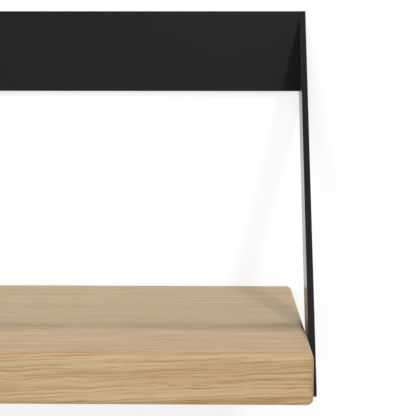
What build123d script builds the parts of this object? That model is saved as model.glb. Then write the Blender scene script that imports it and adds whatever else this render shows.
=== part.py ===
# Wall shelf: a solid oak board, held at both ends by a welded frame of flat steel.
#
# Frame of the part: +X runs to the right along the shelf, +Z is up, and the room is on the
# -Y side of the wall plane Y = 0. The origin is on that plane, halfway between the two wall
# screw holes. All sizes are in millimetres.

import os
from math import atan2, cos, degrees, radians

from build123d import *

# ---------------------------------------------------------------- oak board
board_depth = 240.0         # front to back
board_thickness = 35.5
board_drop = 237.5          # from the top of the rail down to the top of the board
board_overhang = 35.0       # the board's front stands this far beyond the arms
board_edge_radius = 4.4     # all edges but those at the wall
board_back_radius = 2.0     # edges at the wall
board_end_gap = 0.3         # between an end of the board and the tip of an arm
stave_names = ["stave_back", "stave_middle", "stave_front"]  # glued edge to edge

# ---------------------------------------------------------------- steel frame
rail_length = 1000.0        # over the outer faces of both arms, at the wall
rail_height = 67.5
rail_thickness = 5.0
arm_thickness = 5.0
arm_strap_depth = 45.0      # level width of the sloping strap, front to back
arm_shoulder = 4.0          # the arm's front edge follows the rail down for this much
arm_shoulder_radius = 10.0
arm_tip_radius = 2.4
arm_toe_in = 4.4            # an arm's tip stands this much nearer the middle than its root
foot_length = 45.0          # how far a foot reaches in under the board
foot_thickness = 5.0
foot_setback = 5.0          # the foot's front edge stays this far behind the arm's tip
foot_corner_radius = 6.0
frame_corner_radius = 2.4   # ground rounding along the bottom of an arm's outer face
steel_edge_radius = 0.6     # softened edges of the flat steel
rail_weld_leg = 2.5         # groove weld behind each end of the rail
foot_weld_leg = 2.0         # corner weld between a foot and its arm

# ---------------------------------------------------------------- wall screw holes
wall_hole_spacing = 400.0
wall_hole_diameter = 5.5
wall_countersink_diameter = 10.5

# ---------------------------------------------------------------- screws up through the feet
screw_spacing = 22.0        # front to back, on one foot
screw_inset = 26.0          # from the arm's inner face
screw_length = 30.0
screw_head_diameter = 8.0
screw_head_land = 0.4       # straight rim of the countersunk head
screw_diameter = 4.0        # plain shank, and over the thread
screw_core_diameter = 2.8
screw_plain_length = 8.0    # from the head's face to the first thread
screw_pitch = 1.8
screw_point_length = 4.0
screw_hole_clearance = 0.25  # round the shank and the head, in a foot
socket_core_diameter = 2.6
socket_lobe_diameter = 1.1
socket_lobes = 6
socket_depth = 1.6

# ---------------------------------------------------------------- worked out from the above
overcut = 1.0               # how far a cutting tool runs past the face it enters
arm_reach = board_depth - board_overhang
toe_slope = arm_toe_in / arm_reach
toe_angle = degrees(atan2(arm_toe_in, arm_reach))
arm_width_in_x = arm_thickness / cos(radians(toe_angle))
x_outer = rail_length / 2
z_rail_top = rail_height / 2
z_board_top = z_rail_top - board_drop
z_board_bottom = z_board_top - board_thickness
z_bottom = z_board_bottom - foot_thickness
x_board_end = x_outer - arm_width_in_x - arm_toe_in - board_end_gap
y_foot_back = -(arm_reach - arm_strap_depth)
y_foot_front = -(arm_reach - foot_setback)
y_foot_middle = (y_foot_back + y_foot_front) / 2


def inner_x(y):
    """X of the right arm's inner face, where y is zero at the wall and negative in front."""
    return x_outer - arm_width_in_x + y * toe_slope


def prism(points, height, z=0.0):
    """A solid with a plan outline of (x, y) points, standing on the level z."""
    return Pos(0, 0, z) * extrude(make_face(Polyline(*points, close=True)), height)


def turned(points):
    """A solid of revolution about Z, from a closed outline of (radius, z) points."""
    return revolve(Plane.XZ * make_face(Polyline(*points, close=True)), Axis.Z)


def only_solid(shape):
    """The one solid that a finished piece consists of."""
    solids = shape.solids()
    assert len(solids) == 1, f"expected one solid, got {len(solids)}"
    return solids[0]


def mirrored(piece):
    """The same piece on the left of the shelf."""
    return only_solid(mirror(piece, about=Plane.YZ))


# ---------------------------------------------------------------- rail and its welds
def wall_hole(x):
    """Cutter for a countersunk hole through the rail, with its wide end to the room."""
    hole = wall_hole_diameter / 2
    sink = wall_countersink_diameter / 2
    cutter = turned([
        (0, -overcut),
        (hole, -overcut),
        (hole, rail_thickness - (sink - hole)),
        (sink, rail_thickness),
        (sink, rail_thickness + overcut),
        (0, rail_thickness + overcut),
    ])
    return Pos(x, 0, 0) * Rot(90, 0, 0) * cutter


def make_rail():
    """Flat bar whose ends lie on the toed-in arms, bevelled at the back for the welds."""
    front = inner_x(-rail_thickness)
    bevel_side = inner_x(-rail_weld_leg)
    bevel_back = inner_x(0) - rail_weld_leg
    rail = prism([
        (-front, -rail_thickness),
        (front, -rail_thickness),
        (bevel_side, -rail_weld_leg),
        (bevel_back, 0),
        (-bevel_back, 0),
        (-bevel_side, -rail_weld_leg),
    ], rail_height, -rail_height / 2)
    front_edges = rail.edges().filter_by(Axis.X).group_by(Axis.Y)[0]
    rail = fillet(front_edges, min(steel_edge_radius, rail_thickness / 4))
    for side in (-1, 1):
        rail -= wall_hole(side * wall_hole_spacing / 2)
    return only_solid(rail)


def make_rail_weld():
    """Weld metal in the bevel behind the rail's right end, ground flush with the wall face."""
    return only_solid(prism([
        (inner_x(-rail_weld_leg), -rail_weld_leg),
        (inner_x(0), 0),
        (inner_x(0) - rail_weld_leg, 0),
    ], rail_height, -rail_height / 2))


# ---------------------------------------------------------------- arms
def arm_side_outline():
    """Side view of an arm as (y, z): level with the rail, then sloping down to the board.

    It starts behind the wall plane, where the turned plate is later cut off flush.
    """
    behind = arm_thickness
    outline = make_face(Polyline(
        (behind, z_rail_top),
        (-rail_thickness, z_rail_top),
        (-rail_thickness, z_rail_top - arm_shoulder),
        (-arm_reach, z_bottom),
        (y_foot_back, z_bottom),
        (0, -rail_height / 2),
        (behind, -rail_height / 2),
        close=True,
    ))
    tip = outline.vertices().sort_by(Axis.X)[0]
    outline = fillet(tip, arm_tip_radius)
    shoulder = outline.vertices().sort_by_distance((-rail_thickness, z_rail_top - arm_shoulder))[0]
    return fillet(shoulder, arm_shoulder_radius)


def make_arm():
    """The right arm: cut from plate, its edges softened, toed in and cut flush with the wall."""
    plate = extrude(Plane.YZ * arm_side_outline(), arm_thickness, dir=(-1, 0, 0))
    broad_faces = plate.faces().filter_by(Axis.X)
    plate = fillet(broad_faces.edges(), min(steel_edge_radius, arm_thickness / 4))
    plate = Pos(x_outer, 0, 0) * Rot(0, 0, -toe_angle) * plate

    # What is kept is in front of the wall, and rounded where the outer face meets the bottom.
    reach = arm_reach + overcut
    height = z_rail_top - z_bottom
    width = arm_width_in_x + arm_toe_in + 2 * overcut
    keep = Pos(x_outer, -reach / 2, z_bottom + height / 2) * Rot(0, 0, -toe_angle)
    keep = keep * Pos(-width / 2, 0, 0) * Box(width, 2 * reach, height)
    lower_outer = keep.edges().filter_by(lambda e: abs(e.tangent_at(0.5).Z) < 0.5)
    lower_outer = lower_outer.group_by(Axis.Z)[0].sort_by(Axis.X)[-1]
    keep = fillet(lower_outer, frame_corner_radius)
    in_front = Pos(x_outer, -reach, 0) * Box(4 * width, 2 * reach, 4 * height)
    return only_solid(plate & keep & in_front)


# ---------------------------------------------------------------- feet and their welds
def make_foot():
    """The right foot: a plate butted against the arm's inner face, flush with its bottom."""
    inner_end = inner_x(y_foot_middle) - foot_length
    foot = prism([
        (inner_end, y_foot_back),
        (inner_x(y_foot_back), y_foot_back),
        (inner_x(y_foot_front), y_foot_front),
        (inner_end, y_foot_front),
    ], foot_thickness, z_bottom)
    corners = foot.edges().filter_by(Axis.Z).group_by(Axis.X)[0]
    foot = fillet(corners, foot_corner_radius)
    level_edges = foot.edges().filter_by(lambda e: abs(e.tangent_at(0.5).Z) < 0.5)
    free_edges = level_edges.filter_by(lambda e: e.center().X < inner_x(y_foot_front) - overcut)
    foot = fillet(free_edges, min(steel_edge_radius, foot_thickness / 4))
    for x, y in screw_places():
        foot -= Pos(x, y, z_bottom) * foot_hole()
    return only_solid(foot)


def screw_places():
    """(x, y) of the two screws through the right foot, the one nearer the room first."""
    x = inner_x(y_foot_middle) - screw_inset
    return [
        (x, y_foot_middle - screw_spacing / 2),
        (x, y_foot_middle + screw_spacing / 2),
    ]


def foot_hole():
    """Cutter for a countersunk hole in a foot, standing on z = 0 at the foot's underside."""
    head = screw_head_diameter / 2
    hole = screw_diameter / 2 + screw_hole_clearance
    return turned([
        (0, -overcut),
        (head + screw_hole_clearance, -overcut),
        (head + screw_hole_clearance, screw_head_land),
        (head, screw_head_land),
        (hole, screw_head_land + head - hole),
        (hole, foot_thickness + overcut),
        (0, foot_thickness + overcut),
    ])


def make_foot_weld():
    """Corner weld on top of the right foot, small enough to lie in the board's rounded edge."""
    leg = foot_weld_leg
    bead = loft([
        weld_section(y_foot_back - leg),
        weld_section(y_foot_front + leg),
    ])
    return only_solid(bead)


def weld_section(y):
    """Triangular section of the foot weld, at a place y in front of the wall."""
    corner = Plane(origin=(inner_x(y), y, z_board_bottom), x_dir=(-1, 0, 0), z_dir=(0, 1, 0))
    return corner * make_face(Polyline((0, 0), (foot_weld_leg, 0), (0, foot_weld_leg), close=True))


# ---------------------------------------------------------------- screws
def make_screw():
    """Countersunk wood screw, point up, with its head's face at z = 0.

    The thread is a row of rings at the real pitch.
    """
    head = screw_head_diameter / 2
    shank = screw_diameter / 2
    core = screw_core_diameter / 2
    outline = [
        (0, 0),
        (head, 0),
        (head, screw_head_land),
        (shank, screw_head_land + head - shank),
        (shank, screw_plain_length),
        (core, screw_plain_length + (shank - core)),
    ]
    z = screw_plain_length + screw_pitch / 2
    z_point = screw_length - screw_point_length
    while z + screw_pitch < z_point:
        outline += [
            (core, z),
            (shank, z + screw_pitch * 0.30),
            (shank, z + screw_pitch * 0.42),
            (core, z + screw_pitch * 0.72),
        ]
        z += screw_pitch
    outline += [(core, z_point), (0, screw_length)]
    screw = turned(outline)
    socket = Cylinder(socket_core_diameter / 2, 2 * socket_depth)
    for lobe in PolarLocations(socket_core_diameter / 2, socket_lobes):
        socket += lobe * Cylinder(socket_lobe_diameter / 2, 2 * socket_depth)
    return only_solid(screw - socket)


def screw_bore():
    """The hole that a screw fills in the board, standing on z = 0 at the head's face."""
    shank = screw_diameter / 2
    core = screw_core_diameter / 2
    z_point = screw_length - screw_point_length
    return turned([
        (0, 0),
        (shank, 0),
        (shank, z_point),
        (core, z_point),
        (0, screw_length),
    ])


# ---------------------------------------------------------------- board
def make_board():
    """The whole board, with its edges rounded and the four screws' holes in its underside."""
    board = Box(2 * x_board_end, board_depth, board_thickness)
    board = Pos(0, -board_depth / 2, z_board_bottom + board_thickness / 2) * board
    at_wall = board.edges().group_by(Axis.Y)[-1]
    away_from_wall = board.edges() - at_wall
    board = fillet(away_from_wall, min(board_edge_radius, board_thickness / 3))
    wall_face = board.faces().sort_by(Axis.Y)[-1]
    board = fillet(wall_face.edges(), board_back_radius)
    for x, y in screw_places():
        for side in (-1, 1):
            board -= Pos(side * x, y, z_bottom) * screw_bore()
    return only_solid(board)


def make_staves():
    """The board sawn into its staves, from the wall to the room."""
    board = make_board()
    stave_depth = board_depth / len(stave_names)
    staves = {}
    for i, name in enumerate(stave_names):
        slab = Box(2 * rail_length, stave_depth, 2 * board_thickness)
        y_middle = -(i + 0.5) * stave_depth
        slab = Pos(0, y_middle, z_board_bottom + board_thickness / 2) * slab
        staves[name] = only_solid(board & slab)
    return staves


# ---------------------------------------------------------------- the shelf
def make_shelf():
    """Every piece of the shelf, by the name of its node."""
    pieces = {"wall_rail": make_rail()}
    for name, right in (
        ("arm", make_arm()),
        ("foot", make_foot()),
        ("rail_weld", make_rail_weld()),
        ("foot_weld", make_foot_weld()),
    ):
        pieces[name + "_right"] = right
        pieces[name + "_left"] = mirrored(right)
    pieces.update(make_staves())
    for place, (x, y) in zip(("front", "rear"), screw_places()):
        right = only_solid(Pos(x, y, z_bottom) * make_screw())
        pieces[f"foot_screw_right_{place}"] = right
        pieces[f"foot_screw_left_{place}"] = mirrored(right)
    return pieces


os.makedirs("parts", exist_ok=True)
for node, solid in make_shelf().items():
    solid.label = node
    export_step(solid, f"parts/{node}.step")
print("board", round(2 * x_board_end, 2), "x", board_depth, "x", board_thickness)
print("arm reach", arm_reach, "toe-in angle", round(toe_angle, 3))
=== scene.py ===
# %% [markdown]
# # A wall shelf of oak and black steel
# The shelf's shape is already settled as solid parts: a rail, two sloping arms with feet, the
# staves of an oak board, their welds and their screws. This lesson gives those parts the
# surfaces that the real ones have, and lights and frames them. Its sizes could be typed in
# again, but reading them from the loaded parts keeps the two in step.

# %% Load the parts
from math import pi, radians

import bpy
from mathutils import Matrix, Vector


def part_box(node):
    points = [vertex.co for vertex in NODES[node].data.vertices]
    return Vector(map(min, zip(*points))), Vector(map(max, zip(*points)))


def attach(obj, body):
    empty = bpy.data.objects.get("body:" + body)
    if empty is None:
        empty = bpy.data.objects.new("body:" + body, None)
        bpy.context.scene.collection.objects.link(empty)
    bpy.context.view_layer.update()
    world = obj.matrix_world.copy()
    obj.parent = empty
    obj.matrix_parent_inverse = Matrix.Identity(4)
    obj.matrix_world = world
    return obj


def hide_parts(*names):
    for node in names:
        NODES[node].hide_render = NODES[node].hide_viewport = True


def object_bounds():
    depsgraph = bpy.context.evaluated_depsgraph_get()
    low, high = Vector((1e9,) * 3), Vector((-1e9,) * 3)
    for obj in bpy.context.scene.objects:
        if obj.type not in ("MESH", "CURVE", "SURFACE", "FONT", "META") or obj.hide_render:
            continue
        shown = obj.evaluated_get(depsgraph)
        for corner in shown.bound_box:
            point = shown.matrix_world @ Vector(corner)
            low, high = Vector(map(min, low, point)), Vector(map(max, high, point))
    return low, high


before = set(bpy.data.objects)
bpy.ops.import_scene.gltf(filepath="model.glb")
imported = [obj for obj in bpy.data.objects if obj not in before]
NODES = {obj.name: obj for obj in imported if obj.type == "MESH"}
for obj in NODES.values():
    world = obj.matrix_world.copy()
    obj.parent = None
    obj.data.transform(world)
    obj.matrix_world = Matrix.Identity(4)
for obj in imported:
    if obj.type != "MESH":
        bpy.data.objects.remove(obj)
CAD_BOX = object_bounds()
RAIL_LOW, RAIL_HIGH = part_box("wall_rail")
BOARD_LOW, BOARD_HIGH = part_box("stave_front")
SHELF_END = CAD_BOX[1].x
print("parts:", len(NODES), "shelf length in m:", round(2 * SHELF_END, 3))

# %% [markdown]
# ## The camera
# The shelf is looked at from the front, a little left of its right end, with a long lens. The
# camera stands just below the rail's top and looks slightly down, so the board shows a narrow
# band of its top and the uprights converge by a hair. It could be put at a fixed point, but
# placing it from the rail's own corner keeps the view right if the shelf's length changes.

# %% Camera
# The lens and its sensor are in millimetres, places are in metres and turns are in degrees.
CAMERA_LENS = 92.282
CAMERA_SENSOR = 36.0
CAMERA_NEAREST = 0.01
CAMERA_LEFT_OF_END = 0.06985
CAMERA_FROM_WALL = 0.92358
CAMERA_BELOW_RAIL_TOP = 0.0630
CAMERA_TILT_DOWN = 6.537
CAMERA_TURN_LEFT = 0.8122
CAMERA_ROLL = -0.051

camera_data = bpy.data.cameras.new("camera")
camera_data.lens = CAMERA_LENS
camera_data.sensor_width = CAMERA_SENSOR
camera_data.clip_start = CAMERA_NEAREST
camera = bpy.data.objects.new("camera", camera_data)
camera.location = (
    SHELF_END - CAMERA_LEFT_OF_END,
    -CAMERA_FROM_WALL,
    RAIL_HIGH.z - CAMERA_BELOW_RAIL_TOP,
)
camera.rotation_euler = (
    radians(90 - CAMERA_TILT_DOWN),
    radians(CAMERA_ROLL),
    radians(CAMERA_TURN_LEFT),
)
bpy.context.scene.collection.objects.link(camera)
bpy.context.scene.camera = camera
print("camera at", [round(v, 3) for v in camera.location])

# %% [markdown]
# ## Building with nodes
# A procedural material is a chain of nodes. Written out one call at a time it is long and hard
# to read, so three helpers do the routine work: one makes a node and fills or links its inputs,
# one does a single sum, and one turns a range of values into a smooth change. Values that are
# sockets are linked and all others are typed in.

# %% Node helpers
def add_node(tree, kind, inputs=None, **settings):
    """Makes a node, applies its settings, and fills or links the inputs given."""
    made = tree.nodes.new(kind if kind.startswith("GeometryNode") else "ShaderNode" + kind)
    for name, value in settings.items():
        setattr(made, name, value)
    for name, value in (inputs or {}).items():
        if isinstance(value, bpy.types.NodeSocket):
            tree.links.new(value, made.inputs[name])
        else:
            made.inputs[name].default_value = value
    return made


def calc(tree, operation, *values):
    """One Math node; returns its result."""
    return add_node(tree, "Math", dict(enumerate(values)), operation=operation).outputs[0]


def ease(tree, value, low, high, start=0.0, end=1.0):
    """A smooth change from start to end, as value goes from low to high."""
    inputs = {"Value": value, "From Min": low, "From Max": high, "To Min": start, "To Max": end}
    made = add_node(tree, "MapRange", inputs, interpolation_type="SMOOTHSTEP")
    return made.outputs["Result"]


print("helpers for nodes ready")

# %% [markdown]
# ## Groups that are used again
# Grain, soft edges and a pebbled skin are each needed by more than one material. They could be
# copied into every material, but a node group is built once and then placed with its own values.

# %% Group helpers
FLOAT = "NodeSocketFloat"
VECTOR = "NodeSocketVector"


def new_group(name, inputs, outputs, kind="ShaderNodeTree"):
    """An empty group whose inputs are (name, type, default value), its outputs (name, type)."""
    tree = bpy.data.node_groups.new(name, kind)
    for socket_name, socket_type, default in inputs:
        socket = tree.interface.new_socket(
            socket_name, in_out="INPUT", socket_type=socket_type)
        if default is not None:
            socket.default_value = default
    for socket_name, socket_type in outputs:
        tree.interface.new_socket(socket_name, in_out="OUTPUT", socket_type=socket_type)
    given = tree.nodes.new("NodeGroupInput").outputs
    result = tree.nodes.new("NodeGroupOutput").inputs
    return tree, given, result


def place_group(tree, group, inputs):
    """Puts a group into a material with its own values; returns what it puts out."""
    return add_node(tree, "Group", inputs, node_tree=group).outputs


print("helpers for groups ready")

# %% [markdown]
# ## Oak grain
# A tree trunk is a stack of nearly round growth rings, and a board shows how its faces cut
# through them. Grain could be drawn on each face, but then it breaks at every edge. So it is
# worked out in space, as distance from the trunk's heart divided by the width of a year's
# growth, and every face of a stave, its end included, agrees with its neighbours.

# %% Growth rings
# Features per metre, along the trunk (X) and across it (Y and Z).
SLOW_SWAY = (3.0, 6.0, 6.0)
RIPPLE_SIDEWAYS = (24.0, 75.0, 75.0)
RIPPLE_UPWARDS = (26.0, 70.0, 80.0)
# How far the slow sway moves the grain, in metres.
SWAY_REACH = 0.014
# How quickly good and poor summers take turns, per year, and how many years they shift a ring.
SUMMER_PACE = 0.6
SUMMER_SHIFT = 1.8


def stretched_noise(tree, point, scale, detail=2.0, roughness=0.5):
    """Noise from -0.5 to 0.5, with its own number of features per metre along X, Y and Z."""
    stretched = add_node(tree, "VectorMath", {0: point, 1: scale}, operation="MULTIPLY")
    noise = add_node(tree, "TexNoise", {
        "Vector": stretched.outputs[0], "Scale": 1.0, "Detail": detail, "Roughness": roughness,
    })
    return calc(tree, "SUBTRACT", noise.outputs["Fac"], 0.5)


def sway(tree, straight, waviness):
    """The grain sways a little along the trunk, and ripples over a few centimetres."""
    slow = stretched_noise(tree, straight, SLOW_SWAY, detail=1.0)
    ripple_y = stretched_noise(tree, straight, RIPPLE_SIDEWAYS)
    ripple_z = stretched_noise(tree, straight, RIPPLE_UPWARDS)
    bend_y = calc(tree, "MULTIPLY", ripple_y, waviness)
    bend_z = calc(tree, "MULTIPLY", ripple_z, waviness)
    bend_z = calc(tree, "MULTIPLY_ADD", slow, SWAY_REACH, bend_z)
    bend = add_node(tree, "CombineXYZ", {"X": 0.0, "Y": bend_y, "Z": bend_z}).outputs[0]
    return add_node(tree, "VectorMath", {0: straight, 1: bend}, operation="ADD").outputs[0]


def part_of_year(tree, radius, ring_width):
    """From 0 in spring to 1 in winter. Good and poor summers make wide and narrow rings."""
    years = calc(tree, "DIVIDE", radius, ring_width)
    summers = add_node(tree, "TexNoise", {
        "W": years, "Scale": SUMMER_PACE, "Detail": 1.0,
    }, noise_dimensions="1D")
    years = calc(tree, "MULTIPLY_ADD", summers.outputs["Fac"], SUMMER_SHIFT, years)
    return calc(tree, "FRACT", years)


print("rings ready")

# %% [markdown]
# Each ring of oak starts with a band of open pores and ends dense and smooth. The pores are
# long tubes, widest and closest in spring. Rays are thin sheets that run outwards from the
# heart, and show as small flecks. Fibres run along the trunk, from hair-fine ones to soft bands
# as long as the board.

# %% Oak grain group
# Parts of a year over which the band of pores comes and goes.
PORES_COME = (0.0, 0.20)
PORES_GO = (0.22, 0.75)
# Features per metre along the trunk and across it.
BAND_BREAKS = (22.0, 480.0, 480.0)
TUBES_ALONG = 75.0
TUBES_PER_PORE_WIDTH = 0.6
HAIR_FIBRES = (40.0, 1500.0, 1500.0)
SOFT_STREAKS = (8.0, 380.0, 380.0)
PLANK_TONE = (1.5, 30.0, 30.0)
# Rays: sheets per metre along the trunk, per radian round it and per metre outwards.
RAYS_ALONG = 80.0
RAYS_ROUND = 260.0
RAYS_OUTWARDS = 45.0


def spring_band(tree, year):
    """The band of spring pores starts at once and fades towards summer."""
    start = ease(tree, year, *PORES_COME)
    fade = ease(tree, year, *PORES_GO, start=1.0, end=0.0)
    return calc(tree, "MULTIPLY", start, fade)


def pore_tubes(tree, point, band, pore_width):
    """Single pores: more of the noise counts as a pore inside the spring band."""
    across = calc(tree, "DIVIDE", TUBES_PER_PORE_WIDTH, pore_width)
    scale = add_node(tree, "CombineXYZ", {"X": TUBES_ALONG, "Y": across, "Z": across})
    tubes = stretched_noise(tree, point, scale.outputs[0], detail=1.0)
    needed = calc(tree, "MULTIPLY_ADD", band, -0.12, 0.21)
    return ease(tree, calc(tree, "SUBTRACT", tubes, needed), 0.0, 0.08)


def ray_flecks(tree, parts, radius):
    """Rays: fine round the trunk, long away from the heart."""
    angle = calc(tree, "ARCTAN2", parts["Z"], parts["Y"])
    sheet = add_node(tree, "CombineXYZ", {
        "X": calc(tree, "MULTIPLY", parts["X"], RAYS_ALONG),
        "Y": calc(tree, "MULTIPLY", angle, RAYS_ROUND),
        "Z": calc(tree, "MULTIPLY", radius, RAYS_OUTWARDS),
    }).outputs[0]
    flecks = stretched_noise(tree, sheet, (1.0, 1.0, 1.0), detail=1.0)
    return ease(tree, flecks, 0.15, 0.26)


def make_oak_grain():
    tree, given, result = new_group(
        "oak grain",
        [
            ("Position", VECTOR, None),
            ("Ring Width", FLOAT, 0.0030),
            ("Waviness", FLOAT, 0.0075),
            ("Pore Width", FLOAT, 0.0004),
        ],
        [
            ("Pore Band", FLOAT), ("Pores", FLOAT), ("Rays", FLOAT),
            ("Fibres", FLOAT), ("Streaks", FLOAT), ("Tone", FLOAT),
        ],
    )
    point = sway(tree, given["Position"], given["Waviness"])
    parts = add_node(tree, "SeparateXYZ", {0: point}).outputs
    y_squared = calc(tree, "POWER", parts["Y"], 2.0)
    z_squared = calc(tree, "POWER", parts["Z"], 2.0)
    radius = calc(tree, "SQRT", calc(tree, "ADD", y_squared, z_squared))
    band = spring_band(tree, part_of_year(tree, radius, given["Ring Width"]))
    breaks = stretched_noise(tree, point, BAND_BREAKS)
    strength = ease(tree, breaks, -0.20, 0.14, start=0.10, end=1.0)
    effects = {
        "Pore Band": calc(tree, "MULTIPLY", band, strength),
        "Pores": pore_tubes(tree, point, band, given["Pore Width"]),
        "Rays": ray_flecks(tree, parts, radius),
        "Fibres": stretched_noise(tree, point, HAIR_FIBRES, roughness=0.6),
        "Streaks": stretched_noise(tree, point, SOFT_STREAKS, detail=3.0, roughness=0.6),
        "Tone": stretched_noise(tree, point, PLANK_TONE),
    }
    for name, value in effects.items():
        tree.links.new(value, result[name])
    return tree


OAK_GRAIN = make_oak_grain()
print("oak grain group:", len(OAK_GRAIN.nodes), "nodes")

# %% [markdown]
# ## Oiled oak
# The three staves came from different planks, so each has its own heart, ring width and shade,
# and the glued joints show as breaks in the grain and nothing else. One material could serve
# all three, but then the grain would run straight across the joints. Two of the staves meet
# along their darker sides, so a brown streak follows that joint. Towards the right end it is
# darkened by painted shade, which stands in for the right arm's shadow on the board.

# %% Oak shades
PALE_OAK = (0.560, 0.418, 0.236, 1.0)
GOLD_OAK = (0.425, 0.236, 0.086, 1.0)
GREY_OAK = (0.482, 0.381, 0.216, 1.0)
PORE_OAK = (0.270, 0.155, 0.065, 1.0)
RAY_OAK = (0.580, 0.430, 0.250, 1.0)
DARK_OAK = (0.300, 0.182, 0.085, 1.0)
# How much of each colour shows where its effect is strongest.
GOLD_SHARE = 0.45
RAY_SHARE = 0.22
PORE_SHARE = 0.40
LIGHT_AND_SHADE = {"Streaks": 0.16, "Tone": 0.20, "Fibres": 0.16}
# The brown streak, in metres: how far from the wall its joint is, how wide it is, how far it
# wanders and frays, and between which places painted shade of the right arm darkens it. Its
# patches are counted per metre.
STREAK_DEPTH = -BOARD_HIGH.y
STREAK_CORE = 0.002
STREAK_HALF_WIDTH = 0.023
STREAK_WANDERS = 0.016
STREAK_FRAYS = 0.026
STREAK_PATCHES = (11.0, 60.0, 60.0)
ARM_SHADE_FROM = SHELF_END - 0.055
ARM_SHADE_TO = SHELF_END - 0.015


def colour_mix(tree, share, first, second, blend="MIX"):
    """Mixes two colours; each may be a socket or a typed colour."""
    # A Mix node has sockets for every kind of value; 6 and 7 are its colours, and 2 the result.
    inputs = {0: share, 6: first, 7: second}
    return add_node(tree, "Mix", inputs, data_type="RGBA", blend_type=blend).outputs[2]


def streak_and_arm_shade(tree, place, grain, strength):
    """How brown the joint is: wandering, patchy, and darker by the right arm from painted shade.
    """
    parts = add_node(tree, "SeparateXYZ", {0: place}).outputs
    depth = calc(tree, "MULTIPLY", parts["Y"], -1.0)
    drift = calc(tree, "MULTIPLY_ADD", grain["Tone"], STREAK_WANDERS, depth)
    drift = calc(tree, "MULTIPLY_ADD", grain["Streaks"], STREAK_FRAYS, drift)
    distance = calc(tree, "ABSOLUTE", calc(tree, "SUBTRACT", drift, STREAK_DEPTH))
    brown = ease(tree, distance, STREAK_CORE, STREAK_HALF_WIDTH, start=strength, end=0.0)
    patchy = stretched_noise(tree, place, STREAK_PATCHES)
    patchy = ease(tree, patchy, -0.15, 0.15, start=0.55, end=1.25)
    brown = calc(tree, "MULTIPLY", brown, patchy)
    # Painted shade: next to the right arm the streak grows up to 1.7 times darker, for the arm's
    # shadow.
    arm_shade = ease(tree, parts["X"], ARM_SHADE_FROM, ARM_SHADE_TO, start=1.0, end=1.7)
    return calc(tree, "MINIMUM", calc(tree, "MULTIPLY", brown, arm_shade), 1.0)


def oak_colour(tree, place, grain, figure, shade, streak):
    """From pale to grey wood, then golden rings, rays, the streak, pores, and light and shade."""
    greyness = ease(tree, grain["Tone"], -0.12, 0.14)
    colour = colour_mix(tree, greyness, PALE_OAK, GREY_OAK)
    rings = calc(tree, "MULTIPLY", grain["Pore Band"], figure)
    golden = ease(tree, grain["Streaks"], 0.14, -0.16)
    golden = calc(tree, "MULTIPLY_ADD", golden, GOLD_SHARE, rings)
    colour = colour_mix(tree, golden, colour, GOLD_OAK)
    rays = calc(tree, "MULTIPLY", grain["Rays"], RAY_SHARE)
    colour = colour_mix(tree, rays, colour, RAY_OAK)
    if streak:
        brown = streak_and_arm_shade(tree, place, grain, streak)
        colour = colour_mix(tree, brown, colour, DARK_OAK)
    pores = calc(tree, "MULTIPLY", grain["Pores"], PORE_SHARE)
    colour = colour_mix(tree, pores, colour, PORE_OAK)
    bright = shade
    for effect, share in LIGHT_AND_SHADE.items():
        bright = calc(tree, "MULTIPLY_ADD", grain[effect], share, bright)
    grey = add_node(tree, "CombineColor", {0: bright, 1: bright, 2: bright}).outputs[0]
    return colour_mix(tree, 1.0, colour, grey, blend="MULTIPLY")


print("oak shades ready")

# %% [markdown]
# The finish is a matte oil. It leaves the pores open, so they stay darker, rougher and a little
# sunken. The board's top is cut along the rings and looks calm. Its front face cuts across
# them and shows their waves, so waviness and contrast rise over the rounded front edge.

# %% Oiled oak on the staves
BOARD_FRONT = -BOARD_LOW.y
EDGE_CALM = BOARD_FRONT - 0.010
WAVES_ON_TOP = 0.0014
WAVES_IN_FRONT = 0.0046
RINGS_ON_TOP = 0.50
RINGS_IN_FRONT = 0.72
OAK_ROUGHNESS = 0.44
OAK_GLOSS = 0.30
PORE_DEPTH = 0.00010


def wear(material, *node_names):
    """Gives a material to CAD parts."""
    for name in node_names:
        for slot in NODES[name].material_slots:
            slot.material = material


def new_material(name):
    """An empty material: its node tree, and its Principled BSDF joined to the output."""
    material = bpy.data.materials.new(name)
    material.use_nodes = True
    tree = material.node_tree
    tree.nodes.clear()
    shader = add_node(tree, "BsdfPrincipled")
    add_node(tree, "OutputMaterial", {"Surface": shader.outputs["BSDF"]})
    return material, tree, shader


def make_oak(name, heart, lean, ring_width, shade, streak):
    """Oak for one stave. heart is where the trunk's middle was, lean how its axis is turned."""
    material, tree, shader = new_material(name)
    place = add_node(tree, "TexCoord").outputs["Object"]
    from_heart = add_node(tree, "Mapping", {
        "Vector": place, "Location": heart, "Rotation": lean,
    }, vector_type="TEXTURE").outputs["Vector"]
    depth = add_node(tree, "SeparateXYZ", {0: place}).outputs["Y"]
    depth = calc(tree, "MULTIPLY", depth, -1.0)
    waves = ease(tree, depth, EDGE_CALM, BOARD_FRONT, start=WAVES_ON_TOP, end=WAVES_IN_FRONT)
    figure = ease(tree, depth, EDGE_CALM, BOARD_FRONT, start=RINGS_ON_TOP, end=RINGS_IN_FRONT)
    grain = place_group(tree, OAK_GRAIN, {
        "Position": from_heart, "Ring Width": ring_width, "Waviness": waves,
    })
    colour = oak_colour(tree, place, grain, figure, shade, streak)
    tree.links.new(colour, shader.inputs["Base Color"])

    roughness = calc(tree, "MULTIPLY_ADD", grain["Pores"], 0.25, OAK_ROUGHNESS)
    roughness = calc(tree, "MULTIPLY_ADD", grain["Fibres"], 0.12, roughness)
    tree.links.new(roughness, shader.inputs["Roughness"])
    relief = calc(tree, "MULTIPLY", grain["Fibres"], 0.35)
    relief = calc(tree, "MULTIPLY_ADD", grain["Pores"], -1.0, relief)
    bump = add_node(tree, "Bump", {"Height": relief, "Strength": 0.4, "Distance": PORE_DEPTH})
    tree.links.new(bump.outputs["Normal"], shader.inputs["Normal"])
    shader.inputs["Specular IOR Level"].default_value = OAK_GLOSS
    return material


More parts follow.
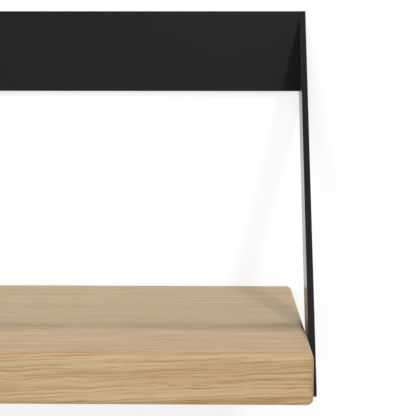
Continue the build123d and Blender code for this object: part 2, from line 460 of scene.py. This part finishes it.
PLANKS = {
    "back": dict(
        heart=(0.0, 0.170, -0.420), lean=(0.0, 0.012, 0.010),
        ring_width=0.0027, shade=0.98, streak=0.0),
    "middle": dict(
        heart=(0.0, 0.080, -0.395), lean=(0.0, -0.016, 0.006),
        ring_width=0.0025, shade=0.955, streak=0.60),
    "front": dict(
        heart=(0.0, -0.380, -0.404), lean=(0.0, -0.030, 0.004),
        ring_width=0.0025, shade=0.985, streak=0.55),
}
for place_in_board, plank in PLANKS.items():
    wear(make_oak("oiled_oak_" + place_in_board, **plank), "stave_" + place_in_board)
print("oak on the staves:", ", ".join(PLANKS))

# %% [markdown]
# ## Black powder coat
# Powder coat is sprayed on dry and baked, so it flows into a thin skin with a fine, slightly
# pebbled surface. It is thinner on corners, where it looks a touch smoother and paler; the
# paleness there is also a painted highlight along the edges. Corners could be painted by hand,
# but a group finds them by comparing the face's own direction with one averaged over a small
# bevel, and keeps doing so when a part changes.

# %% Edge and pebble groups
PEBBLE_SIZE = 0.0006
PEBBLES_PER_GRAIN = 0.8
CLOUDS_PER_METRE = 14.0


def make_edge_mask():
    tree, given, result = new_group(
        "soft edges", [("Reach", FLOAT, 0.001), ("Softness", FLOAT, 0.25)], [("Edge", FLOAT)])
    rounded = add_node(tree, "Bevel", {"Radius": given["Reach"]}, samples=6).outputs[0]
    flat = add_node(tree, "NewGeometry").outputs["True Normal"]
    agree = add_node(tree, "VectorMath", {0: rounded, 1: flat}, operation="DOT_PRODUCT")
    turned = calc(tree, "SUBTRACT", 1.0, agree.outputs["Value"])
    tree.links.new(ease(tree, turned, 0.0, given["Softness"]), result["Edge"])
    return tree


def make_pebble():
    tree, given, result = new_group(
        "pebbled skin",
        [("Position", VECTOR, None), ("Grain Size", FLOAT, PEBBLE_SIZE)],
        [("Height", FLOAT), ("Speckle", FLOAT), ("Cloud", FLOAT)],
    )
    place = given["Position"]
    per_metre = calc(tree, "DIVIDE", 1.0, given["Grain Size"])
    noise = add_node(tree, "TexNoise", {
        "Vector": place, "Scale": per_metre, "Detail": 2.0,
    }).outputs["Fac"]
    cells = add_node(tree, "TexVoronoi", {
        "Vector": place, "Scale": calc(tree, "MULTIPLY", per_metre, PEBBLES_PER_GRAIN),
    }, feature="SMOOTH_F1").outputs["Distance"]
    cloud = add_node(tree, "TexNoise", {
        "Vector": place, "Scale": CLOUDS_PER_METRE, "Detail": 3.0,
    }).outputs["Fac"]
    tree.links.new(calc(tree, "MULTIPLY_ADD", cells, -0.5, noise), result["Height"])
    tree.links.new(ease(tree, noise, 0.35, 0.7), result["Speckle"])
    tree.links.new(cloud, result["Cloud"])
    return tree


EDGE_MASK = make_edge_mask()
PEBBLE = make_pebble()
print("edge and pebble groups ready")

# %% [markdown]
# One recipe makes both coats. The rail's is rougher and a little purplish. The arms' has flowed
# out smoother, so an arm mirrors a white wall when it is seen along its face, and its black is
# painted paler, as painted light on the arms. Plain black would be simpler, but real steel shows
# fine speckles and clouds of gloss.

# %% Powder-coat material
RAIL_BLACK = (0.0046, 0.0040, 0.0056, 1.0)
# The arms' black is about three times paler than the rail's: painted light on the arms.
ARM_BLACK = (0.0145, 0.0141, 0.0141, 1.0)
COAT_PALE = (0.0170, 0.0160, 0.0170, 1.0)
COAT_ROUGHEST = 0.95
SPECKLE_SHARE = 0.22
THIN_EDGE_AND_HIGHLIGHT_SHARE = 0.5
PEBBLE_HEIGHT = 0.00006


def make_powder_coat(name, black, smoothness, gloss):
    """Black powder coat. A smoother one has flowed out better in the oven."""
    material, tree, shader = new_material(name)
    place = add_node(tree, "TexCoord").outputs["Object"]
    skin = place_group(tree, PEBBLE, {"Position": place, "Grain Size": PEBBLE_SIZE})
    edge = place_group(tree, EDGE_MASK, {})["Edge"]
    # Corners are painted paler: partly the thinner coat, partly a painted highlight along the
    # edges.
    pale = calc(tree, "MULTIPLY", edge, THIN_EDGE_AND_HIGHLIGHT_SHARE)
    pale = calc(tree, "MULTIPLY_ADD", skin["Speckle"], SPECKLE_SHARE, pale)
    colour = colour_mix(tree, pale, black, COAT_PALE)
    tree.links.new(colour, shader.inputs["Base Color"])
    roughness = calc(tree, "MULTIPLY_ADD", skin["Cloud"], 0.10, COAT_ROUGHEST - smoothness)
    roughness = calc(tree, "MULTIPLY_ADD", edge, -0.08, roughness)
    tree.links.new(roughness, shader.inputs["Roughness"])
    bump = add_node(tree, "Bump", {
        "Height": skin["Height"], "Strength": 0.25, "Distance": PEBBLE_HEIGHT,
    })
    tree.links.new(bump.outputs["Normal"], shader.inputs["Normal"])
    shader.inputs["Specular IOR Level"].default_value = gloss
    return material


RAIL_COAT = make_powder_coat("black_powder_coat_rail", RAIL_BLACK, smoothness=0.37, gloss=0.70)
ARM_COAT = make_powder_coat("black_powder_coat_arms", ARM_BLACK, smoothness=0.77, gloss=0.50)
RAIL_PARTS = [n for n in NODES if n.startswith(("wall_rail", "rail_weld"))]
ARM_PARTS = [n for n in NODES if n.startswith(("arm_", "foot_weld", "foot_right", "foot_left"))]
wear(RAIL_COAT, *RAIL_PARTS)
wear(ARM_COAT, *ARM_PARTS)
print("powder coat on", len(RAIL_PARTS) + len(ARM_PARTS), "parts")

# %% [markdown]
# ## Weld beads on the feet
# Each foot is joined to its arm by a bead of weld in their inner corner. The welder lays it as a
# row of small pools, each freezing over the last, which leaves curved ripples. Pools could be
# modelled one by one, but they follow a rule, so a Geometry Nodes tree makes them: a line along
# the corner is swept with a slightly swollen quarter section. First comes the rule for the
# bead's size, which dips between the pools and runs out at both ends.

# %% Size of the bead along its line
HAND_WOBBLES_PER_METRE = 260.0
HAND_WOBBLE = 0.12
RUN_OUT_LEGS = 0.8
RUN_OUT_SIZE = 0.35


def bead_radius(tree, given):
    """The bead's size: its leg, less the ripples, an unsteady hand, and ends that run out."""
    along = add_node(tree, "GeometryNodeSplineParameter").outputs["Length"]
    whole = add_node(tree, "GeometryNodeSplineLength").outputs["Length"]
    turn = calc(tree, "DIVIDE", calc(tree, "MULTIPLY", along, pi), given["Ripple Pitch"])
    pool = calc(tree, "ABSOLUTE", calc(tree, "SINE", turn))
    dip = calc(tree, "MULTIPLY", calc(tree, "SUBTRACT", 1.0, pool), given["Ripple Depth"])
    place = calc(tree, "MULTIPLY_ADD", along, HAND_WOBBLES_PER_METRE, given["Seed"])
    hand = add_node(
        tree, "TexNoise", {"W": place, "Scale": 1.0, "Detail": 1.0}, noise_dimensions="1D")
    size = calc(tree, "MULTIPLY_ADD", hand.outputs["Fac"], -HAND_WOBBLE, 1.0)
    size = calc(tree, "SUBTRACT", size, dip)
    to_end = calc(tree, "MINIMUM", along, calc(tree, "SUBTRACT", whole, along))
    to_end = calc(tree, "DIVIDE", to_end, given["Leg"])
    run_out = ease(tree, to_end, 0.0, RUN_OUT_LEGS, start=RUN_OUT_SIZE, end=1.0)
    return calc(tree, "MULTIPLY", calc(tree, "MULTIPLY", size, run_out), given["Leg"])


print("rule for the bead's size ready")

# %% [markdown]
# Next comes the bead's section. It starts as a circle, whose other three quarters are folded
# flat onto the two plates. Its swollen face leads a little, as a pool does that is pulled along.

# %% Section of the bead
BEAD_SWELL = 1.3
BEAD_LEAD = 0.8
SECTION_POINTS = 40


def bead_section(tree):
    """A quarter circle between two plates, with its face a little ahead of its corners."""
    ring = add_node(tree, "GeometryNodeCurvePrimitiveCircle", {
        "Resolution": SECTION_POINTS, "Radius": 1.0,
    }).outputs["Curve"]
    spot = add_node(tree, "GeometryNodeInputPosition").outputs[0]
    spot = add_node(tree, "SeparateXYZ", {0: spot}).outputs
    sideways = calc(tree, "POWER", calc(tree, "MAXIMUM", spot["X"], 0.0), BEAD_SWELL)
    upwards = calc(tree, "POWER", calc(tree, "MAXIMUM", spot["Y"], 0.0), BEAD_SWELL)
    lead = calc(tree, "MULTIPLY", calc(tree, "MULTIPLY", sideways, upwards), BEAD_LEAD)
    # A section's own Y points down once it is swept.
    folded = add_node(tree, "CombineXYZ", {
        "X": sideways, "Y": calc(tree, "MULTIPLY", upwards, -1.0), "Z": lead,
    }).outputs[0]
    moved = add_node(tree, "GeometryNodeSetPosition", {"Geometry": ring, "Position": folded})
    return moved.outputs[0]


print("section of the bead ready")

# %% [markdown]
# The tree sweeps the section along the line. The sweep comes out inside out, so its faces are
# flipped, and the folded points that fell on each other are merged into one.

# %% Weld bead tree
MERGE_WITHIN = 0.000004


def make_bead_tree():
    tree, given, result = new_group(
        "weld bead",
        [
            ("Start", VECTOR, None), ("End", VECTOR, None), ("Leg", FLOAT, 0.002),
            ("Ripple Pitch", FLOAT, 0.0013), ("Ripple Depth", FLOAT, 0.09),
            ("Seed", FLOAT, 0.0), ("Steps", "NodeSocketInt", 280),
            ("Material", "NodeSocketMaterial", None),
        ],
        [("Geometry", "NodeSocketGeometry")],
        kind="GeometryNodeTree",
    )
    line = add_node(tree, "GeometryNodeCurvePrimitiveLine", {
        "Start": given["Start"], "End": given["End"],
    }).outputs["Curve"]
    line = add_node(tree, "GeometryNodeResampleCurve", {
        "Curve": line, "Count": given["Steps"],
    }).outputs[0]
    line = add_node(tree, "GeometryNodeSetCurveNormal", {"Curve": line}, mode="Z_UP").outputs[0]
    bead = add_node(tree, "GeometryNodeCurveToMesh", {
        "Curve": line, "Profile Curve": bead_section(tree), "Scale": bead_radius(tree, given),
        "Fill Caps": True,
    }).outputs[0]
    bead = add_node(tree, "GeometryNodeFlipFaces", {"Mesh": bead}).outputs[0]
    bead = add_node(tree, "GeometryNodeMergeByDistance", {
        "Geometry": bead, "Distance": MERGE_WITHIN,
    }).outputs[0]
    bead = add_node(tree, "GeometryNodeRealizeInstances", {"Geometry": bead}).outputs[0]
    bead = add_node(tree, "GeometryNodeSetMaterial", {
        "Geometry": bead, "Material": given["Material"],
    }).outputs[0]
    tree.links.new(bead, result["Geometry"])
    return tree


BEAD_TREE = make_bead_tree()
print("weld bead tree:", len(BEAD_TREE.nodes), "nodes")

# %% [markdown]
# The corner that each bead fills is read from its weld's box. The left bead is laid the other
# way, from front to back, so that its section lies on its own foot and not outside it.

# %% Weld beads
def grow(name, tree, values):
    """Runs a Geometry Nodes tree on its own and returns the result as a plain mesh object."""
    seedling = bpy.data.objects.new(name, bpy.data.meshes.new(name))
    bpy.context.scene.collection.objects.link(seedling)
    modifier = seedling.modifiers.new(name, "NODES")
    modifier.node_group = tree
    sockets = {s.name: s.identifier for s in tree.interface.items_tree if s.in_out == "INPUT"}
    for socket_name, value in values.items():
        modifier[sockets[socket_name]] = value
    seedling.update_tag()
    bpy.context.view_layer.update()
    evaluated = seedling.evaluated_get(bpy.context.evaluated_depsgraph_get())
    mesh = bpy.data.meshes.new_from_object(evaluated)
    seedling.modifiers.clear()
    seedling.data = mesh
    return seedling


for side, seed in (("right", 3.0), ("left", 11.0)):
    weld = "foot_weld_" + side
    low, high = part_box(weld)
    leg = high.z - low.z
    if side == "right":
        start = (high.x, high.y, low.z)
        end = (low.x + leg, low.y, low.z)
    else:
        start = (high.x - leg, low.y, low.z)
        end = (low.x, high.y, low.z)
    bead = grow("foot_bead_" + side, BEAD_TREE, {
        "Start": start, "End": end, "Leg": leg, "Seed": seed, "Material": ARM_COAT,
    })
    for face in bead.data.polygons:
        face.use_smooth = True
    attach(bead, "root")
    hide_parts(weld)
    print(bead.name, "leg in mm:", round(leg * 1000, 2), "faces:", len(bead.data.polygons))

# %% [markdown]
# ## Blackened screws
# The four screws that hold the board are zinc-plated steel, dyed black. The arms' coat could
# cover them too, but plating is thin and even, so it keeps the faint turning marks of the head
# and shines more than the coated frame.

# %% Screw material
ZINC_DARK = (0.045, 0.045, 0.050, 1.0)
ZINC_PALE = (0.11, 0.11, 0.115, 1.0)
ZINC_ROUGHNESS = 0.36
TURNING_MARKS = (2600.0, 2600.0, 900.0)
TURNING_DEPTH = 0.00003
STAINS_PER_METRE = 420.0


def make_black_zinc(name):
    material, tree, shader = new_material(name)
    place = add_node(tree, "TexCoord").outputs["Object"]
    marks = stretched_noise(tree, place, TURNING_MARKS, detail=3.0)
    stain = add_node(tree, "TexNoise", {
        "Vector": place, "Scale": STAINS_PER_METRE, "Detail": 3.0,
    }).outputs["Fac"]
    edge = place_group(tree, EDGE_MASK, {"Reach": 0.0003})["Edge"]
    pale = calc(tree, "MULTIPLY_ADD", stain, 0.35, calc(tree, "MULTIPLY", edge, 0.6))
    colour = colour_mix(tree, pale, ZINC_DARK, ZINC_PALE)
    tree.links.new(colour, shader.inputs["Base Color"])
    roughness = calc(tree, "MULTIPLY_ADD", marks, 0.25, ZINC_ROUGHNESS)
    tree.links.new(roughness, shader.inputs["Roughness"])
    bump = add_node(tree, "Bump", {"Height": marks, "Strength": 0.2, "Distance": TURNING_DEPTH})
    tree.links.new(bump.outputs["Normal"], shader.inputs["Normal"])
    shader.inputs["Metallic"].default_value = 1.0
    return material


SCREWS = [n for n in NODES if n.startswith("foot_screw")]
wear(make_black_zinc("black_zinc"), *SCREWS)
print("black zinc on", len(SCREWS), "screws")

# %% [markdown]
# ## The wall and the floor
# The shelf hangs on a plain white wall, with a pale floor far below. A closed box would hide
# the shelf from behind, so both are seen from the room only: from their other side the eye
# looks through them. Rays that leave the rail's back pass through the wall too, because the
# narrow gap there would otherwise be black.

# %% Stage paint
NARROW_GAP = 0.002
ROLLER_PER_METRE = 240.0
ROLLER_DEPTH = 0.0003
WHITE = (1.0, 1.0, 1.0, 1.0)


def make_stage_paint(name, brightness, glow, bounce):
    """Matt paint that is only there for the side that faces the room.

    glow is what the eye and reflections see beyond the lamps' light, as on a well lit white
    wall; bounce is the part of it that lights the shelf.
    """
    material, tree, shader = new_material(name)
    place = add_node(tree, "TexCoord").outputs["Object"]
    roller = add_node(tree, "TexNoise", {
        "Vector": place, "Scale": ROLLER_PER_METRE, "Detail": 3.0,
    }).outputs["Fac"]
    bump = add_node(tree, "Bump", {"Height": roller, "Strength": 0.12, "Distance": ROLLER_DEPTH})
    tree.links.new(bump.outputs["Normal"], shader.inputs["Normal"])
    path = add_node(tree, "LightPath").outputs
    soft = calc(tree, "MULTIPLY_ADD", path["Is Diffuse Ray"], bounce - glow, glow)
    tree.links.new(soft, shader.inputs["Emission Strength"])
    shader.inputs["Emission Color"].default_value = WHITE
    shader.inputs["Base Color"].default_value = (brightness, brightness, brightness, 1.0)
    shader.inputs["Roughness"].default_value = 0.9
    shader.inputs["Specular IOR Level"].default_value = 0.1

    behind = add_node(tree, "NewGeometry").outputs["Backfacing"]
    from_parts = calc(tree, "SUBTRACT", 1.0, path["Is Camera Ray"])
    near = calc(tree, "LESS_THAN", path["Ray Length"], NARROW_GAP)
    through = calc(tree, "MAXIMUM", behind, calc(tree, "MULTIPLY", from_parts, near))
    clear = add_node(tree, "BsdfTransparent").outputs["BSDF"]
    mixed = add_node(tree, "MixShader", {0: through, 1: shader.outputs["BSDF"], 2: clear})
    output = next(n for n in tree.nodes if n.type == "OUTPUT_MATERIAL")
    tree.links.new(mixed.outputs[0], output.inputs["Surface"])
    return material


WALL_PAINT = make_stage_paint("wall_paint", brightness=0.39, glow=0.65, bounce=0.28)
FLOOR_PAINT = make_stage_paint("floor_paint", brightness=0.30, glow=0.55, bounce=0.15)
print("stage paint ready")

# %% [markdown]
# The wall starts just behind the rail, so that the two don't share a surface. Each panel is one
# flat face, because only its paint is looked at.

# %% Wall and floor
WALL_GAP = 0.0006
WALL_HALF_WIDTH = 4.0
WALL_TOP = 3.0
ROOM_DEPTH = 6.0
FLOOR_DROP = 1.45
FLOOR_LEVEL = CAD_BOX[0].z - FLOOR_DROP


def make_panel(name, low, high, material):
    """A flat stage panel between two corners; its front faces the room."""
    corners = [low, (high[0], low[1], low[2]), high, (low[0], high[1], high[2])]
    mesh = bpy.data.meshes.new(name)
    mesh.from_pydata(corners, [], [(0, 1, 2, 3)])
    mesh.materials.append(material)
    panel = bpy.data.objects.new(name, mesh)
    bpy.context.scene.collection.objects.link(panel)


WALL_FOOT = (-WALL_HALF_WIDTH, WALL_GAP, FLOOR_LEVEL)
make_panel("wall", WALL_FOOT, (WALL_HALF_WIDTH, WALL_GAP, WALL_TOP), WALL_PAINT)
ROOM_FRONT = (-WALL_HALF_WIDTH, -ROOM_DEPTH, FLOOR_LEVEL)
make_panel("floor", ROOM_FRONT, (WALL_HALF_WIDTH, WALL_GAP, FLOOR_LEVEL), FLOOR_PAINT)
print("floor at", round(FLOOR_LEVEL, 3), "m")

# %% [markdown]
# ## Light
# One soft lamp stands in front, to the right and above, and draws the arm's shadow on the rail
# and the wall. White walls around would fill the rest. They could be built, but wide, weak
# lamps do the same with less noise.

# %% Lamps
ARM_MIDDLE = (SHELF_END, BOARD_LOW.y / 2, (RAIL_LOW.z + BOARD_HIGH.z) / 2)


def make_lamp(name, direction, distance, size, power, mirrored=False):
    """A round soft lamp that shines along direction at the middle of the right arm.

    Only a mirrored lamp shows in reflections; the others are too wide and weak to.
    """
    data = bpy.data.lights.new(name, "AREA")
    data.shape = "DISK"
    data.size = size
    data.energy = power
    lamp = bpy.data.objects.new(name, data)
    along = Vector(direction).normalized()
    lamp.location = Vector(ARM_MIDDLE) - along * distance
    lamp.rotation_euler = along.to_track_quat("-Z", "Y").to_euler()
    lamp.visible_camera = False
    lamp.visible_glossy = mirrored
    bpy.context.scene.collection.objects.link(lamp)


make_lamp("key", (-0.55, 1.0, -1.0), distance=5.0, size=0.60, power=75.0, mirrored=True)
make_lamp("front_fill", (0.20, 1.0, -0.20), distance=3.2, size=2.4, power=59.5)
make_lamp("top_fill", (0.1, 0.2, -1.0), distance=2.5, size=2.0, power=20.0)
make_lamp("back_fill", (0.2, -1.0, -0.4), distance=3.0, size=2.0, power=40.0, mirrored=True)

# %% [markdown]
# The air beyond the walls is pale for the eye, weaker where it lights the parts, and nearly
# dark in reflections, because a bright sky all round would wash out the black steel.

# %% Sky
SKY_FOR_EYE = 0.80
SKY_FOR_GLOSS = 0.05
SKY_FOR_PARTS = 0.20

world = bpy.data.worlds.new("room")
bpy.context.scene.world = world
world.use_nodes = True
air = world.node_tree
ray = add_node(air, "LightPath").outputs
sky = calc(air, "MULTIPLY_ADD", ray["Is Camera Ray"], SKY_FOR_EYE - SKY_FOR_PARTS, SKY_FOR_PARTS)
sky = calc(air, "MULTIPLY_ADD", ray["Is Glossy Ray"], SKY_FOR_GLOSS - SKY_FOR_PARTS, sky)
air.links.new(sky, air.nodes["Background"].inputs["Strength"])
air.nodes["Background"].inputs["Color"].default_value = WHITE
bpy.context.scene.view_settings.view_transform = "Standard"
print("sky ready")
